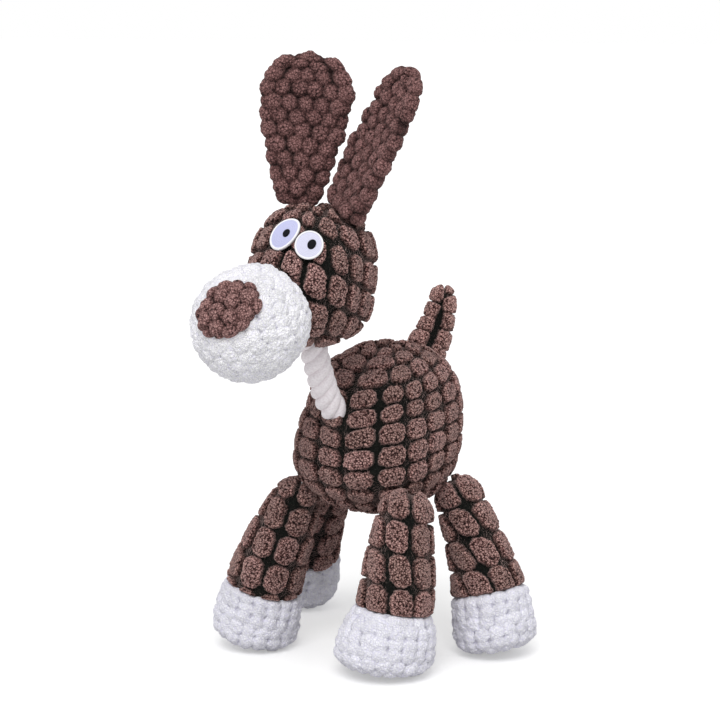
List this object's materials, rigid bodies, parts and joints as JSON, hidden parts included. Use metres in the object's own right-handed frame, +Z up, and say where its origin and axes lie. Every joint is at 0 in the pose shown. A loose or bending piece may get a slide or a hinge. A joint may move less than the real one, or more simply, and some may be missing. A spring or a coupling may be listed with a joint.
{
  "type": "plush dog toy",
  "caption": "Standing plush dog toy with a rope neck, upright ears, splayed jointed legs, a round muzzle and a squeaker hidden in its belly.",
  "frame": {"origin": "middle of the footprint, on the floor that the paws stand on", "axes": "+Z up, the dog looks along -Y and its own left side is +X"},
  "size_m": [0.1594, 0.1814, 0.2758],
  "materials": {
    "brick_plush": "short curly pile raised in brick-shaped pads on a dark green-black mesh backing",
    "bobble_plush_brown": "dark brown bobble pile",
    "bobble_plush_white": "white bobble pile",
    "eye_thread": "pale embroidery with a satin-stitched rim",
    "pupil_thread": "black satin stitch",
    "cotton_rope": "undyed soft-laid cotton",
    "fibre_filling": "loose polyester fibre",
    "squeaker_bladder": "blown soft plastic",
    "squeaker_plug": "moulded",
    "squeaker_reed": "thin film"
  },
  "bodies": {
    "torso": {"torso_cover": "brick_plush", "torso_filling_left": "fibre_filling", "torso_filling_right": "fibre_filling", "squeaker_bladder": "squeaker_bladder", "squeaker_plug": "squeaker_plug", "squeaker_reed": "squeaker_reed"},
    "neck": {"neck_rope": "cotton_rope"},
    "head": {"muzzle_cover": "bobble_plush_white", "muzzle_filling": "fibre_filling", "head_cover": "brick_plush", "head_filling": "fibre_filling", "eye_patch_left": "eye_thread", "pupil_left": "pupil_thread", "eye_patch_right": "eye_thread", "pupil_right": "pupil_thread", "nose_patch": "bobble_plush_brown"},
    "left_ear": {"ear_left_front_panel": "bobble_plush_brown", "ear_left_back_panel": "bobble_plush_brown"},
    "right_ear": {"ear_right_front_panel": "bobble_plush_brown", "ear_right_back_panel": "bobble_plush_brown"},
    "tail": {"tail_cover": "brick_plush", "tail_filling": "fibre_filling"},
    "front_left_leg": {"front_left_leg_cover": "brick_plush", "front_left_paw_cover": "bobble_plush_white", "front_left_leg_filling": "fibre_filling"},
    "front_right_leg": {"front_right_leg_cover": "brick_plush", "front_right_paw_cover": "bobble_plush_white", "front_right_leg_filling": "fibre_filling"},
    "hind_left_leg": {"hind_left_leg_cover": "brick_plush", "hind_left_paw_cover": "bobble_plush_white", "hind_left_leg_filling": "fibre_filling"},
    "hind_right_leg": {"hind_right_leg_cover": "brick_plush", "hind_right_paw_cover": "bobble_plush_white", "hind_right_leg_filling": "fibre_filling"}
  },
  "joints": [
    {"name": "neck_nod", "type": "hinge", "parent": "torso", "child": "neck", "pos_m": [0.00751, -0.0014, 0.11947], "axis": [1, 0, 0], "range_deg": [-8, 12], "stiffness_Nm_per_rad": 1},
    {"name": "head_turn", "type": "hinge", "parent": "neck", "child": "head", "pos_m": [0.00601, -0.0174, 0.14797], "axis": [-0.0478, -0.4145, 0.9088], "range_deg": [-35, 35], "stiffness_Nm_per_rad": 0.3},
    {"name": "ear_left_flop", "type": "hinge", "parent": "head", "child": "left_ear", "pos_m": [0.02405, -0.01699, 0.21077], "axis": [-0.7911, 0.5122, 0.3343], "range_deg": [-4, 50], "stiffness_Nm_per_rad": 0.06},
    {"name": "ear_right_flop", "type": "hinge", "parent": "head", "child": "right_ear", "pos_m": [0.00081, -0.02074, 0.21408], "axis": [-0.848, -0.5234, 0.0829], "range_deg": [-4, 50], "stiffness_Nm_per_rad": 0.06},
    {"name": "front_left_swing", "type": "hinge", "parent": "torso", "child": "front_left_leg", "pos_m": [0.03893, 0.00728, 0.07025], "axis": [-1, 0, 0], "range_deg": [-10, 25], "stiffness_Nm_per_rad": 0.8},
    {"name": "front_right_swing", "type": "hinge", "parent": "torso", "child": "front_right_leg", "pos_m": [-0.01932, 0.00417, 0.06984], "axis": [-1, 0, 0], "range_deg": [-10, 25], "stiffness_Nm_per_rad": 0.8},
    {"name": "hind_left_swing", "type": "hinge", "parent": "torso", "child": "hind_left_leg", "pos_m": [0.04009, 0.05164, 0.07039], "axis": [-1, 0, 0], "range_deg": [-25, 10], "stiffness_Nm_per_rad": 0.8},
    {"name": "hind_right_swing", "type": "hinge", "parent": "torso", "child": "hind_right_leg", "pos_m": [-0.02715, 0.04603, 0.07145], "axis": [-1, 0, 0], "range_deg": [-25, 10], "stiffness_Nm_per_rad": 0.8},
    {"name": "tail_wag", "type": "hinge", "parent": "torso", "child": "tail", "pos_m": [0.00751, 0.07397, 0.13475], "axis": [0, 1, 0], "range_deg": [-20, 20], "stiffness_Nm_per_rad": 0.1}
  ]
}
